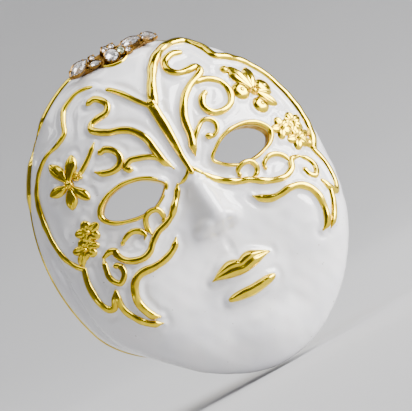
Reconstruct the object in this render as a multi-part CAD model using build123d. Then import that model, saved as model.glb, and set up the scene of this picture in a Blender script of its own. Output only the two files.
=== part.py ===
from build123d import *
from math import cos, hypot, pi, radians, sin, sqrt
import os

# A small brooch in the shape of a full-face Venetian mask. Millimetres, +Z up, the face looks towards -Y.
# It is built with zero at the middle of the plane the back rim lies in, then moved to put zero on the pin.

# ---- driving dimensions
HALF_W = 25.0  # half the face's width
HALF_H = 28.5  # half the face's height before the chin is drawn down
DOME = 14.0  # depth of the dome at the bridge of the nose
SHELL_T = 1.1  # cast metal
ENAMEL_T = 0.7  # white enamel over it
FLANGE_T = 0.8  # bare metal lip round the back
NOSE = 3.4  # how far the nose stands off the dome
CHIN_DROP = 0.08  # share by which the chin is drawn down
CHIN_TUCK = 0.15  # share by which the back rim is tucked in under the chin
JAW_SLOPE = 0.10  # share of the depth lost towards the jaw
ACROSS = 17  # points from the middle of a section to its edge
SECTIONS = 23  # sections from the chin to the top
WIRE_R = 0.42  # half-width of the gold wires
WIRE_LIFT = 0.08  # how far a wire's centre line stands off the enamel
SINK = 0.5  # the deepest a bead or petal reaches into the enamel
EYE_RIM_W = 0.75  # width of the gold rim round an eye
RIM_RISE = 0.35  # how far that rim stands off the enamel
LIP_RISE = 0.55  # how far the lips stand off the enamel
PIN_Z = 11.0  # height of the pin over the middle of the rim
PIN_Y = -2.0  # the pin lies this far inside the rim plane
PIN_R = 0.42  # half the pin wire's thickness
PIN_FREE = 22.0  # length of the wire the cloth hangs on
PIN_ROOT_R = 0.62  # half its thickness at the hinge, where it is drawn thicker
PIN_NECK_R = 0.32  # half its thickness where it enters the catch
HINGE_X = -14.0  # the pin's hinge
CATCH_X = 13.3  # middle of the safety catch
RUN = 0.05  # running clearance of the moving parts

# ---- paths of the gold work over the right half of the face, as (x, z)
STEM = [(0, 16.9), (0, 14.0), (0, 10.5), (0, 7.0), (0, 4.2)]
NOSE_LINE = [(0.2, 4.4), (1.0, 2.6), (1.9, 0.4), (2.6, -1.6)]
CONTOUR = [(0.3, 16.4), (2.5, 20.4), (5.2, 23.7), (8.5, 24.6), (11.4, 23.8), (13.0, 21.4), (14.0, 19.2),
           (16.6, 18.1), (19.6, 15.6), (21.8, 11.4), (22.8, 6.4), (22.6, 2.2), (21.0, -1.1)]
JAW_LOBE = [(21.0, -1.1), (21.5, -4.4), (21.2, -7.4), (20.3, -8.6), (19.5, -7.8), (18.7, -6.3)]
CURL = [(8.4, 21.9), (6.8, 21.9), (5.8, 20.4), (7.2, 18.9), (9.6, 18.8), (9.6, 17.1), (6.8, 15.8),
        (4.3, 13.8), (3.2, 11.2), (2.9, 8.6), (2.2, 6.4)]
BROW_SCROLL = [(2.1, 6.2), (3.0, 8.0), (4.6, 9.7), (6.6, 10.6), (8.2, 10.2), (7.9, 8.9)]
SPIRAL = [(7.4, 16.8), (10.0, 16.4), (12.2, 14.8), (12.6, 12.6), (11.2, 10.8), (9.2, 10.8), (8.3, 12.2),
          (9.0, 13.8), (10.4, 13.8)]
UNDER_EYE = [(1.8, 3.4), (3.4, 2.0), (5.2, 0.4), (7.2, -0.7), (9.2, -1.5), (11.0, -3.0), (13.2, -3.5),
             (15.2, -2.6), (16.1, -0.9), (17.8, -1.0)]
RING_INNER = [(7.4, -0.5), (6.9, 0.6), (7.6, 1.7), (9.0, 1.9), (9.9, 0.9), (9.6, -0.7)]
RING_OUTER = [(11.0, -1.4), (10.9, 0.1), (12.3, 1.0), (14.0, 0.7), (15.0, -0.4)]
CHEEK = [(6.9, -3.3), (8.4, -4.7), (10.6, -5.4), (13.0, -5.3), (15.2, -5.9), (16.6, -7.7), (16.6, -10.0),
         (15.9, -12.1), (14.7, -13.0)]
JAW_TAIL = [(18.8, -6.6), (18.9, -8.8), (18.0, -11.2), (16.6, -13.1), (14.8, -14.2)]
JAW_HOOK = [(17.8, -1.1), (18.4, -3.0), (18.2, -5.0), (17.0, -5.2), (16.6, -3.6), (17.3, -2.8)]
TEMPLE_STEM = [(16.0, 12.0), (13.9, 13.3), (11.2, 15.4)]
CHEEK_STEM = [(18.8, 2.6), (20.2, 0.6), (20.9, -0.9)]
# a flower's centre, and its petals by direction in degrees, length and width
TEMPLE_CENTRE = (16.6, 11.7, 0.95)
TEMPLE_PETALS = [(73, 3.1, 1.6), (118, 3.4, 1.5), (2, 3.1, 1.6), (-57, 3.0, 1.5), (-107, 2.7, 1.5),
                 (161, 2.4, 1.5)]
CHEEK_CENTRE = (18.7, 3.0, 0.7)
CHEEK_PETALS = [(150, 2.2, 1.3), (55, 2.2, 1.3), (-5, 2.3, 1.2), (-85, 2.3, 1.2), (-150, 2.0, 1.2)]
EYE = [(4.5, 4.7), (7.2, 6.8), (10.4, 7.4), (13.3, 6.6), (14.9, 4.8), (13.9, 3.2), (11.2, 2.2), (8.2, 2.2),
       (5.8, 3.3)]
UPPER_LIP = [(-5.2, -12.1), (-3.6, -11.0), (-1.8, -10.4), (0, -10.9), (1.8, -10.4), (3.6, -11.0),
             (5.2, -12.1), (3.0, -12.9), (0, -13.4), (-3.0, -12.9)]
LOWER_LIP = [(-4.2, -15.9), (-2.4, -15.3), (0, -15.1), (2.4, -15.3), (4.2, -15.9), (2.4, -16.8), (0, -17.1),
             (-2.4, -16.8)]

# ---- the crystal spray: x, z, radius of the round stones
SPRAY_Y = -5.6
SPRAY_TILT = 24
ROUND_STONES = {"crystal_centre": (-0.3, 27.6, 0.85), "crystal_green": (1.25, 27.7, 0.62),
                "crystal_side": (2.25, 27.4, 0.45), "crystal_top_L": (-0.75, 29.15, 0.6),
                "crystal_top_R": (0.45, 29.2, 0.5), "crystal_bead": (-3.2, 28.9, 0.45)}
# x, z, length, width, lean
LEAF_STONES = {"navette_L_outer": (-6.0, 28.35, 4.0, 1.9, 22), "navette_L_inner": (-3.3, 27.75, 2.3, 1.0, -6),
               "navette_R_inner": (3.6, 28.6, 3.9, 1.5, -4), "navette_R_outer": (6.5, 28.1, 3.0, 1.5, -30)}


def smooth(low, high, x):
    """0 below low, 1 above high, with an even slope between."""
    t = min(1.0, max(0.0, (x - low) / (high - low)))
    return t * t * (3 - 2 * t)


def hill(x, z, cx, cz, rx, rz):
    """A rounded hill of height 1 centred on (cx, cz)."""
    d = ((x - cx) / rx) ** 2 + ((z - cz) / rz) ** 2
    return (1 - d) ** 2 if d < 1 else 0.0


def fullness(down, up):
    """How square the dome's section is: round over the forehead, full over the jaw."""
    return 2.2 + 0.3 * up * up + 8.0 * smooth(0, 0.71, down)


def dome_height(r, down, up, height):
    slope = 1 - JAW_SLOPE * smooth(0, 0.5, down) * r * r
    return height * slope * sqrt(max(0.0, 1 - r ** fullness(down, up)))


def features(x, z):
    """What stands off the plain dome: nose, lips, chin and eyelids."""
    half = 1.6 + 2.0 * smooth(4.0, -3.5, z)
    side = max(0.0, 1 - (x / half) ** 2)
    nose = NOSE * smooth(6.5, -3.5, z) * smooth(-6.6, -4.0, z) * side ** 1.5
    wings = 1.0 * hill(abs(x), z, 2.6, -4.4, 1.9, 1.9)
    mouth = 1.0 * hill(x, z, 0, -13.4, 7.6, 5.4)
    chin = 0.7 * hill(x, z, 0, -22.0, 7.0, 5.0)
    lids = 0.45 * hill(abs(x), z, 9.7, 4.7, 8.0, 5.6)
    return nose + wings + mouth + chin + lids


def face_y(x, z):
    """Where the enamel's surface is at (x, z), away from the edge."""
    a, b = x / HALF_W, z / HALF_H
    down = 0.0
    for _ in range(4):
        drop = b / (1 + CHIN_DROP * down * down)
        down = max(0.0, -drop) / max(1e-9, hypot(a, drop))
    r = max(1e-9, hypot(a, drop))
    return -dome_height(r, down, max(0.0, drop) / r, DOME) - features(x, z)


def face_normal(x, z):
    d = 0.05
    slope_x = (face_y(x + d, z) - face_y(x - d, z)) / (2 * d)
    slope_z = (face_y(x, z + d) - face_y(x, z - d)) / (2 * d)
    return Vector(slope_x, -1, slope_z).normalized()


def on_face(x, z, lift=0.0):
    return Vector(x, face_y(x, z), z) + face_normal(x, z) * lift


def dome_point(across, along, inset):
    """A point of the dome: across is -1 to 1 over a section, along is -1 at the chin and 1 at the top."""
    s = sin(along * pi / 2)
    c = cos(along * pi / 2) * sin(across * pi / 2)
    r = min(1.0, hypot(s, c))
    up, down = (max(0.0, s) / r, max(0.0, -s) / r) if r > 1e-9 else (0.0, 0.0)
    height = DOME - inset
    h = dome_height(r, down, up, height)
    lean = 1 - smooth(-0.1, 0.81, h / height)
    pull = 1 - lean * CHIN_TUCK * smooth(0.38, 1.0, down)
    x = (HALF_W - inset) * c * pull
    z = (HALF_H - inset) * s * pull * (1 + CHIN_DROP * down * down)
    return Vector(x, -(h + features(x, z) * smooth(0, 0.3, h / height)), z)


def dome(inset):
    """The solid between the dome's surface, taken in by inset, and the plane of the back rim."""
    knots = [k / ACROSS for k in range(-ACROSS, ACROSS + 1)]
    knots = [0.45 * k + 0.9 * k ** 3 - 0.35 * k ** 5 for k in knots]
    wires = [Vertex(*dome_point(0, -1, inset))]
    for i in range(1, SECTIONS):
        points = [dome_point(k, 2 * i / SECTIONS - 1, inset) for k in knots]
        front = Edge.make_spline(points, parameters=[(k + 1) / 2 for k in knots])
        wires.append(Wire([front, Edge.make_line(points[-1], points[0])]))
    wires.append(Vertex(*dome_point(0, 1, inset)))
    return Solid.make_loft(wires)


def prism(points, grow=0.0, flip=1):
    """A block through the face from front to back, on a closed curve through the points."""
    n = len(points)
    grown = []
    for i, (x, z) in enumerate(points):
        ax, az = points[i - 1]
        bx, bz = points[(i + 1) % n]
        length = hypot(bx - ax, bz - az)
        grown.append(Vector(flip * (x - grow * (bz - az) / length), -25, z + grow * (bx - ax) / length))
    outline = Wire([Edge.make_spline(grown, periodic=True)])
    return Solid.extrude(Face(outline), Vector(0, 24.5, 0))


def mirrored(points, flip):
    return [(flip * x, z) for x, z in points]


def tube(points, thickness, steps, lift):
    """A round rod on the enamel through the points; thickness gives its radius from 0 to 1 along it."""
    path = Edge.make_spline([on_face(x, z, lift) for x, z in points])
    rings = []
    for i in range(steps + 1):
        where = path @ (i / steps)
        plane = Plane(origin=where, x_dir=face_normal(where.X, where.Z), z_dir=path % (i / steps))
        rings.append(Wire([Edge.make_circle(thickness(i / steps), plane)]))
    return Solid.make_loft(rings)


def wire_solid(points, radius=WIRE_R, end=0.6, lift=WIRE_LIFT):
    """A gold wire laid on the enamel through the points, thinner towards its ends."""
    length = sum(hypot(b[0] - a[0], b[1] - a[1]) for a, b in zip(points, points[1:]))
    return tube(points, lambda t: radius * (end + (1 - end) * smooth(0, 0.16, min(t, 1 - t))),
                max(9, int(length / 1.1)), lift)


def bead(x, z, radius):
    return Pos(*on_face(x, z, max(0.1, radius - SINK))) * Solid.make_sphere(radius)


def petal(centre, direction, length, width, flip):
    """A round-backed petal from a flower's middle outwards, pointed at both ends."""
    dx, dz = cos(radians(direction)), sin(radians(direction))
    steps = (0.3, 0.3 + length / 2, 0.3 + length)
    points = [(flip * (centre[0] + k * dx), centre[1] + k * dz) for k in steps]
    lift = max(0.12, width / 2 - SINK)
    return tube(points, lambda t: max(0.12, width / 2 * sqrt(sin(pi * t))), 8, lift)


def joined(first, *others):
    whole = first.fuse(*others) if others else first
    return whole.solids()[0] if len(whole.solids()) == 1 else whole


def build_shell_and_enamel():
    outer = dome(0.0)
    middle = dome(ENAMEL_T)
    inner = dome(ENAMEL_T + SHELL_T)
    front = Pos(0, -FLANGE_T - 15, 0) * Box(120, 30, 120)
    enamel = (outer - middle) & front
    shell = (outer - inner) - enamel
    for flip in (-1, 1):
        shell = shell - prism(EYE, 0, flip)
        enamel = enamel - prism(EYE, EYE_RIM_W, flip)
    enamel = enamel - prism(UPPER_LIP) - prism(LOWER_LIP)
    return shell, enamel, middle, inner


def build_eye_rim(flip, raised, middle):
    ring = prism(EYE, EYE_RIM_W, flip) - prism(EYE, 0, flip)
    return (ring & raised) - middle


def build_lip(points, raised, middle):
    return (prism(points) & raised) - middle


def build_y_stem():
    lines = [wire_solid(mirrored(NOSE_LINE, flip), 0.28, 0.5) for flip in (-1, 1)]
    return joined(wire_solid(STEM, 0.5, 0.75), *lines)


def build_flower(centre, petals, stem, flip):
    middle = bead(flip * centre[0], centre[1], centre[2])
    leaves = [petal(centre, *size, flip) for size in petals]
    return joined(middle, wire_solid(mirrored(stem, flip), 0.33, 0.7), *leaves)


def spray_plane(x, z):
    """The plane the stones are set in: it leans back, so that they look a little upwards."""
    return Plane(origin=Vector(0, SPRAY_Y, 28.0), x_dir=Vector(1, 0, 0),
                 z_dir=Vector(0, -cos(radians(SPRAY_TILT)), sin(radians(SPRAY_TILT)))) * Pos(x, z - 28.0, 0)


def round_stone(x, z, radius, spread=0.0):
    """A round cut stone: flat table, sloping crown, pointed back. Spread makes the cup it sits in."""
    r = radius + spread
    top, crown, back = 0.28 * radius, 0.0, -0.75 * radius
    points = [(0, back), (r, crown), (0.62 * radius, top), (0, top)]
    profile = Face(Wire.make_polygon([Vector(a, 0, b) for a, b in points]))
    return spray_plane(x, z) * Solid.revolve(profile, 360, Axis.Z)


def boat(length, width, low, high, top=1.0):
    """A pointed boat shape between two heights."""
    rings = []
    for level, scale in ((low, 1.0), (high, top)):
        a, b = length / 2 * scale, width / 2 * scale
        upper = Edge.make_three_point_arc(Vector(-a, 0, level), Vector(0, b, level), Vector(a, 0, level))
        lower = Edge.make_three_point_arc(Vector(a, 0, level), Vector(0, -b, level), Vector(-a, 0, level))
        rings.append(Wire([upper, lower]))
    return Solid.make_loft(rings, ruled=True)


def leaf_stone(x, z, length, width, lean):
    crown = boat(length, width, 0.0, 0.22 * width, 0.62)
    back = boat(length * 0.35, width * 0.35, -0.4 * width, 0.0, 1 / 0.35)
    return spray_plane(x, z) * Rot(0, 0, lean) * joined(crown, back)


def build_spray(middle):
    stones = {name: round_stone(*size) for name, size in ROUND_STONES.items()}
    stones.update({name: leaf_stone(*size) for name, size in LEAF_STONES.items()})
    cups = []
    for x, z, r in ROUND_STONES.values():
        deep = 0.5 * r + 0.1
        cups.append(spray_plane(x, z) * Pos(0, 0, -deep) * Solid.make_cylinder(r + 0.2, deep))
    for x, z, length, width, lean in LEAF_STONES.values():
        cup = boat(length + 0.5, width + 0.4, -0.45 * width, 0.0)
        cups.append(spray_plane(x, z) * Rot(0, 0, lean) * cup)
    plate = spray_plane(0, 28.1) * boat(15.0, 2.5, -1.5, -0.42)
    petal = spray_plane(-0.1, 26.6) * boat(5.2, 1.6, -1.4, -0.1, 0.85)
    foot = Pos(0, -3.5, 27.4) * Box(9.0, 3.4, 1.2)
    setting = joined(plate, petal, foot, *cups) - middle
    for stone in stones.values():
        setting = setting - stone
    return setting, stones


def build_pin_bar(inner):
    """A flat bar across the hollow, soldered against the shell at both ends."""
    return (Pos(0, PIN_Y - 1.75 - 0.45, PIN_Z) * Box(2 * HALF_W, 0.9, 3.4)) & inner


def cylinder_x(x, radius, length):
    return Pos(x, PIN_Y, PIN_Z) * Rot(0, 90, 0) * Solid.make_cylinder(radius, length)


def cylinder_z(x, z, radius, length):
    return Pos(x, PIN_Y, z) * Solid.make_cylinder(radius, length)


def build_hinge():
    base = Pos(HINGE_X, PIN_Y - 1.5, PIN_Z) * Box(3.2, 0.5, 2.8)
    ears = []
    for side in (-1, 1):
        low = PIN_Z + side * 1.0 - 0.25
        block = Pos(HINGE_X, PIN_Y - 0.7, low + 0.25) * Box(2.0, 1.4, 0.5)
        ears.append(joined(block, cylinder_z(HINGE_X, low, 1.0, 0.5)))
    rivet = cylinder_z(HINGE_X, PIN_Z - 1.25, 0.38, 2.5)
    heads = [cylinder_z(HINGE_X, PIN_Z - 1.5, 0.62, 0.25), cylinder_z(HINGE_X, PIN_Z + 1.25, 0.62, 0.25)]
    bracket = joined(base, *ears) - rivet
    return bracket, joined(rivet, *heads)


def build_pin_stem():
    """The sprung pin: an eye round the rivet, a straight wire and a sharp tip."""
    half = PIN_FREE / 2
    tip = CATCH_X + 1.3
    eye = cylinder_z(HINGE_X, PIN_Z - 0.65, 0.92, 1.3)
    root_end = HINGE_X + 0.6
    root = Pos(root_end, PIN_Y, PIN_Z) * Rot(0, 90, 0) * Solid.make_cone(PIN_ROOT_R, PIN_R, -half - root_end)
    shaft = cylinder_x(-half, PIN_R, PIN_FREE)
    neck = Pos(half, PIN_Y, PIN_Z) * Rot(0, 90, 0) * Solid.make_cone(PIN_R, PIN_NECK_R, tip - half)
    point = Pos(tip, PIN_Y, PIN_Z) * Rot(0, 90, 0) * Solid.make_cone(PIN_NECK_R, 0.05, 1.6)
    return joined(eye, root, shaft, neck, point) - cylinder_z(HINGE_X, PIN_Z - 1.0, 0.38 + RUN, 2.0)


def build_catch():
    """A slotted tube on two feet, with a collar at each end to keep the lock ring on."""
    start = CATCH_X - 1.3
    tube = cylinder_x(start, 1.0, 2.6)
    ends = []
    for x in (start, CATCH_X + 0.8):
        ends.append(cylinder_x(x, 1.3, 0.5))
        ends.append(Pos(x + 0.25, PIN_Y - 1.2, PIN_Z) * Box(0.5, 1.1, 1.8))
    slot = Pos(CATCH_X, PIN_Y + 1.0, PIN_Z) * Box(4, 2.0, 1.04)
    return joined(tube, *ends) - cylinder_x(start - 1, 0.6, 5) - slot


def build_lock_ring():
    """The lock ring: its gap faces the back when the pin is free to open."""
    start = CATCH_X - 0.8 + RUN * 1.4
    length = 1.6 - RUN * 2.8
    ring = cylinder_x(start, 1.42, length) - cylinder_x(start - 1, 1.0 + RUN, 4)
    gap = Pos(CATCH_X, PIN_Y + 1.0, PIN_Z) * Box(4, 2.0, 1.3)
    angle = radians(80)
    where = Pos(CATCH_X, PIN_Y + 1.6 * cos(angle), PIN_Z + 1.6 * sin(angle))
    tab = where * Rot(80, 0, 0) * Box(0.9, 0.6, 0.5)
    return joined(ring - gap, tab)


def build_all():
    shell, enamel, middle, inner = build_shell_and_enamel()
    raised_rim = dome(-RIM_RISE)
    raised_lip = dome(-LIP_RISE)
    parts = {"cast_shell": shell, "y_stem": build_y_stem()}
    parts["upper_lip"] = build_lip(UPPER_LIP, raised_lip, middle)
    parts["lower_lip"] = build_lip(LOWER_LIP, raised_lip, middle)
    paths = {
        "contour_wire": (CONTOUR, 0.45),
        "jaw_lobe_wire": (JAW_LOBE, 0.4),
        "forehead_curl": (CURL, 0.42),
        "brow_scroll": (BROW_SCROLL, 0.38),
        "brow_spiral": (SPIRAL, 0.4),
        "under_eye_wire": (UNDER_EYE, 0.4),
        "eye_ring_inner": (RING_INNER, 0.32),
        "eye_ring_outer": (RING_OUTER, 0.34),
        "cheek_scroll": (CHEEK, 0.44),
        "jaw_tail": (JAW_TAIL, 0.38),
        "jaw_hook": (JAW_HOOK, 0.36),
    }
    for side, flip in (("L", -1), ("R", 1)):
        for name, (points, radius) in paths.items():
            parts[f"{name}_{side}"] = wire_solid(mirrored(points, flip), radius)
        parts[f"temple_flower_{side}"] = build_flower(TEMPLE_CENTRE, TEMPLE_PETALS, TEMPLE_STEM, flip)
        parts[f"cheek_flower_{side}"] = build_flower(CHEEK_CENTRE, CHEEK_PETALS, CHEEK_STEM, flip)
        parts[f"eye_rim_{side}"] = build_eye_rim(flip, raised_rim, middle)
    setting, stones = build_spray(middle)
    parts["spray_setting"] = setting
    parts.update(stones)
    parts["enamel_face"] = enamel - setting
    parts["pin_bar"] = build_pin_bar(inner)
    parts["hinge_bracket"], parts["hinge_rivet"] = build_hinge()
    parts["pin_stem"] = build_pin_stem()
    parts["catch_body"] = build_catch()
    parts["catch_rotor"] = build_lock_ring()
    return parts


os.makedirs("parts", exist_ok=True)
for name, part in build_all().items():
    placed = Pos(0, -PIN_Y, -PIN_Z) * part
    placed.label = name
    export_step(placed, f"parts/{name}.step")
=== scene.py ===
import math
import bmesh
import bpy
import numpy as np
from mathutils import Matrix, Vector
from mathutils.kdtree import KDTree


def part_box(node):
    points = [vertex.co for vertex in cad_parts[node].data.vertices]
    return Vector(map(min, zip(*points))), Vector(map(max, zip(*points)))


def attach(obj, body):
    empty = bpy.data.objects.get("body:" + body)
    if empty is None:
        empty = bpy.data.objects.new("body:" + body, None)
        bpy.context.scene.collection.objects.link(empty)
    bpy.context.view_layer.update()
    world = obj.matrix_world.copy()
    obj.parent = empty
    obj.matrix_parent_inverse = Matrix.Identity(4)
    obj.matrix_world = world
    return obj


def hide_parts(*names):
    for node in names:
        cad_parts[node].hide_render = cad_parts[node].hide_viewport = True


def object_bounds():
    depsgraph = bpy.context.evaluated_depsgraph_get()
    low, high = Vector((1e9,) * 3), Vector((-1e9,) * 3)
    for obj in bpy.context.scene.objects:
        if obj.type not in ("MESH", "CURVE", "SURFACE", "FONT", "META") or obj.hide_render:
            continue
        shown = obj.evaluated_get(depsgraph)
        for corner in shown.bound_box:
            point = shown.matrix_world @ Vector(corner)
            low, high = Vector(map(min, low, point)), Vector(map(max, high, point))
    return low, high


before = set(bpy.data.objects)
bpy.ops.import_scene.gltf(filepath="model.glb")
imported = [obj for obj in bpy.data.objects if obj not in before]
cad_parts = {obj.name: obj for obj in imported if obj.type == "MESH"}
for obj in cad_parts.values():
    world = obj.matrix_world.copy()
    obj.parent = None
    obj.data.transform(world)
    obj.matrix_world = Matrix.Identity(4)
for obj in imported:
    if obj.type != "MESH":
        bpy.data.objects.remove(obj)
cad_low, cad_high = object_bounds()

# ---------------------------------------------------------------- size, from the CAD frame (mm)
shell_low, shell_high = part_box("cast_shell")
face_low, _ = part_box("enamel_face")
HEIGHT_IN_HALVES = 2.004  # the mask's height over its upper half height: the chin drops a little lower
DOME_DEPTH, FULL_DEPTH = 14.0, 17.2  # the dome alone, and the dome with the nose on it
DRAWN_HALF_WIDTH, DRAWN_HALF_HEIGHT = 25.0, 28.5  # of the face that the gold work is laid out on
W = shell_high.x * 1000
H = (shell_high.z - face_low.z) * 1000 / HEIGHT_IN_HALVES
D = (shell_high.y - face_low.y) * 1000 * DOME_DEPTH / FULL_DEPTH
BACK = shell_high.y * 1000
MID = shell_high.z * 1000 - H
KX, KZ = W / DRAWN_HALF_WIDTH, H / DRAWN_HALF_HEIGHT
ENAMEL, METAL = 0.7, 1.1  # thickness of each
RELIEF_INSIDE = 0.85  # the features are softer on the hollow side


def to_frame(points):
    """Points about the middle of the back rim, in mm, as points of the row frame, in metres."""
    p = np.asarray(points, float)
    return (p + np.array([0.0, BACK, MID])) / 1000.0


# ---------------------------------------------------------------- the face as a surface
JAW_SLOPE = 0.10  # how much flatter the dome is towards the jaw
CHIN_TUCK = 0.19  # how far the back rim goes in under the chin
CHIN_DROP = 0.08  # how much longer the lower half is at the chin
CHIN_LEAN = 0.4  # the chin lies this far to one side, mm
FEATURES_FROM = 0.3  # share of the dome's height over which the features fade in from the rim


def smooth(a, b, x):
    """A soft step from 0 at a to 1 at b."""
    t = np.clip((x - a) / (b - a), 0, 1)
    return t * t * (3 - 2 * t)


def hill(x, z, cx, cz, rx, rz):
    """A round rise of height 1 on an oval, level with the ground at its edge."""
    d = ((x - cx) / rx) ** 2 + ((z - cz) / rz) ** 2
    return np.clip(1 - d, 0, 1) ** 2


def fullness(down, up):
    """The power of the dome's profile: fuller towards the chin."""
    return 2.2 + 0.3 * up * up + 9.5 * smooth(0, 0.71, down)


def features(x, z):
    """Nose, brows, eyelids, cheeks, mouth and chin, standing off the plain dome."""
    ax = np.abs(x)
    run = np.interp(z, [-6.9, -6.2, -5.4, -4.5, -3.4, -2.2, 0.5, 3.0, 5.0, 7.5],
                    [0.0, 0.25, 1.35, 2.75, 3.35, 3.2, 2.2, 1.25, 0.6, 0.0])
    wide = np.interp(z, [-6.5, -4.0, -1.5, 1.5, 5.0, 8.0], [2.5, 2.7, 2.3, 1.8, 1.7, 2.2])
    nose = run * np.exp(-((ax / wide) ** 2.3))
    wings = 1.15 * hill(ax, z, 2.7, -4.3, 1.9, 1.75)
    under = -0.25 * hill(ax, z, 1.2, -5.9, 1.0, 0.8)
    lids = 0.55 * hill(ax, z, 9.8, 4.8, 8.2, 5.6)
    socket = -0.5 * hill(ax, z, 3.6, 3.2, 3.0, 3.4)
    cheeks = 0.45 * hill(ax, z, 12.5, -10.0, 9.0, 8.5)
    mouth = 1.25 * hill(x, z, 0, -13.4, 8.2, 5.8)
    crease = -0.35 * hill(x, z, 0, -18.7, 5.5, 2.0)
    chin = 1.0 * hill(x, z, 0, -22.6, 7.5, 5.2)
    philtrum = -0.22 * hill(x, z, 0, -8.6, 1.0, 2.2)
    return nose + wings + under + lids + socket + cheeks + mouth + crease + chin + philtrum


def rise(r, down, up, height):
    """Height of the plain dome at the radius r, from 0 in the middle to 1 at the rim."""
    slope = 1 - JAW_SLOPE * smooth(0, 0.5, down) * r * r
    return height * slope * np.sqrt(np.clip(1 - r ** fullness(down, up), 0, 1))


def pulled(h, height, down):
    """The back rim is tucked in under the chin."""
    return 1 - (1 - smooth(-0.1, 0.81, h / height)) * CHIN_TUCK * smooth(0.38, 1.0, down)


def dome(px, pz, inset=0.0, relief=1.0):
    """Points of the dome for px, pz inside the unit circle."""
    r = np.clip(np.hypot(px, pz), 1e-9, 1)
    up, down = np.clip(pz / r, 0, 1), np.clip(-pz / r, 0, 1)
    height = D - inset
    h = rise(r, down, up, height)
    pull = pulled(h, height, down)
    x = (W - inset) * px * pull + CHIN_LEAN * down ** 2
    z = (H - inset) * pz * pull * (1 + CHIN_DROP * down ** 2)
    y = -(h + relief * features(x / KX, z / KZ) * smooth(0, FEATURES_FROM, h / height))
    return np.stack([x, y, z], -1), h


def waves(x, z):
    """The slow unevenness of hand-poured enamel."""
    return 0.06 * wobble(x, z, 31, 9.0) + 0.03 * wobble(x, z, 32, 3.6)


def face_at(x, z, inset=0.0, relief=1.0):
    """The surface at x, z (mm): the dome's own coordinates are found by stepping towards them."""
    x, z = np.asarray(x, float), np.asarray(z, float)
    height = D - inset
    px, pz = x / (W - inset), z / (H - inset)
    for _ in range(14):
        r = np.clip(np.hypot(px, pz), 1e-9, 0.9995)
        up, down = np.clip(pz / r, 0, 1), np.clip(-pz / r, 0, 1)
        pull = pulled(rise(r, down, up, height), height, down)
        px = 0.4 * px + 0.6 * (x - CHIN_LEAN * down ** 2) / (W - inset) / pull
        pz = 0.4 * pz + 0.6 * z / (H - inset) / pull / (1 + CHIN_DROP * down ** 2)
    r = np.clip(np.hypot(px, pz), 1e-9, 0.9995)
    h = rise(r, np.clip(-pz / r, 0, 1), np.clip(pz / r, 0, 1), height)
    near = smooth(0, FEATURES_FROM, h / height)
    out = h + relief * features(x / KX, z / KZ) * near + (waves(x, z) * near if inset == 0.0 else 0.0)
    return np.stack([x, -out, z], -1)


def face_normal(x, z):
    """The outward direction of the face at x, z."""
    d = 0.05
    a = face_at(x + d, z) - face_at(x - d, z)
    b = face_at(x, z + d) - face_at(x, z - d)
    n = np.cross(a, b)
    n /= np.linalg.norm(n, axis=-1, keepdims=True)
    return np.where(n[..., 1:2] > 0, -n, n)


def wobble(x, z, seed, size):
    """Slow, smooth unevenness between about -1 and 1."""
    rng = np.random.RandomState(seed)
    total = np.zeros_like(x, dtype=float)
    for k in range(7):
        a = rng.uniform(0, 2 * math.pi)
        f = (0.6 + 0.9 * rng.rand()) * 2 * math.pi / size
        total += np.sin(f * (np.cos(a) * x + np.sin(a) * z) + rng.uniform(0, 6.28))
    return total / 3.5


# ---------------------------------------------------------------- mesh helpers
def placed(name, data):
    """An object in the scene with the given mesh, lamp or camera."""
    obj = bpy.data.objects.new(name, data)
    bpy.context.scene.collection.objects.link(obj)
    return obj


def make(name, verts, faces, material, angle=None):
    """A mesh object in the row frame from points in mm about the rim's middle."""
    mesh = bpy.data.meshes.new(name)
    mesh.from_pydata([tuple(v) for v in to_frame(verts)], [], [tuple(int(i) for i in f) for f in faces])
    bm = bmesh.new()
    bm.from_mesh(mesh)
    bmesh.ops.recalc_face_normals(bm, faces=bm.faces)
    bm.to_mesh(mesh)
    bm.free()
    mesh.polygons.foreach_set("use_smooth", [True] * len(mesh.polygons))
    if angle is not None:
        mesh.set_sharp_from_angle(angle=math.radians(angle))
    mesh.materials.append(material)
    obj = placed(name, mesh)
    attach(obj, "mask")
    return obj


def gold_piece(node, verts, faces, material=None, angle=None):
    """A gold mesh in the place of a CAD node."""
    piece = make(f"{node}_gold", verts, faces, material or GOLD, angle=angle)
    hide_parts(node)


def ring_faces(n, m):
    """The faces of a closed ring of n sections with m points each."""
    return [(i * m + j, i * m + (j + 1) % m, (i + 1) % n * m + (j + 1) % m, (i + 1) % n * m + j)
            for i in range(n) for j in range(m)]


def tube_faces(n, m):
    """The faces of a tube of n sections with m points each, closed at both ends on the two points that follow."""
    faces = [(i * m + j, i * m + (j + 1) % m, (i + 1) * m + (j + 1) % m, (i + 1) * m + j)
             for i in range(n - 1) for j in range(m)]
    for j in range(m):
        k = (j + 1) % m
        faces.append((n * m, k, j))
        faces.append((n * m + 1, (n - 1) * m + j, (n - 1) * m + k))
    return faces


def slab(top, low):
    """A closed solid between two grids of points that match."""
    rows, cols = top.shape[:2]
    verts = np.concatenate([top.reshape(-1, 3), low.reshape(-1, 3)])
    n, faces = rows * cols, []
    for i in range(rows - 1):
        for j in range(cols - 1):
            q = (i * cols + j, i * cols + j + 1, (i + 1) * cols + j + 1, (i + 1) * cols + j)
            faces.append(q)
            faces.append(tuple(k + n for k in reversed(q)))
    ring = list(range(cols)) + [i * cols + cols - 1 for i in range(1, rows)]
    ring += [(rows - 1) * cols + j for j in range(cols - 2, -1, -1)]
    ring += [i * cols for i in range(rows - 2, 0, -1)]
    for a, b in zip(ring, ring[1:] + ring[:1]):
        faces.append((a, b, b + n, a + n))
    return verts, faces


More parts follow.
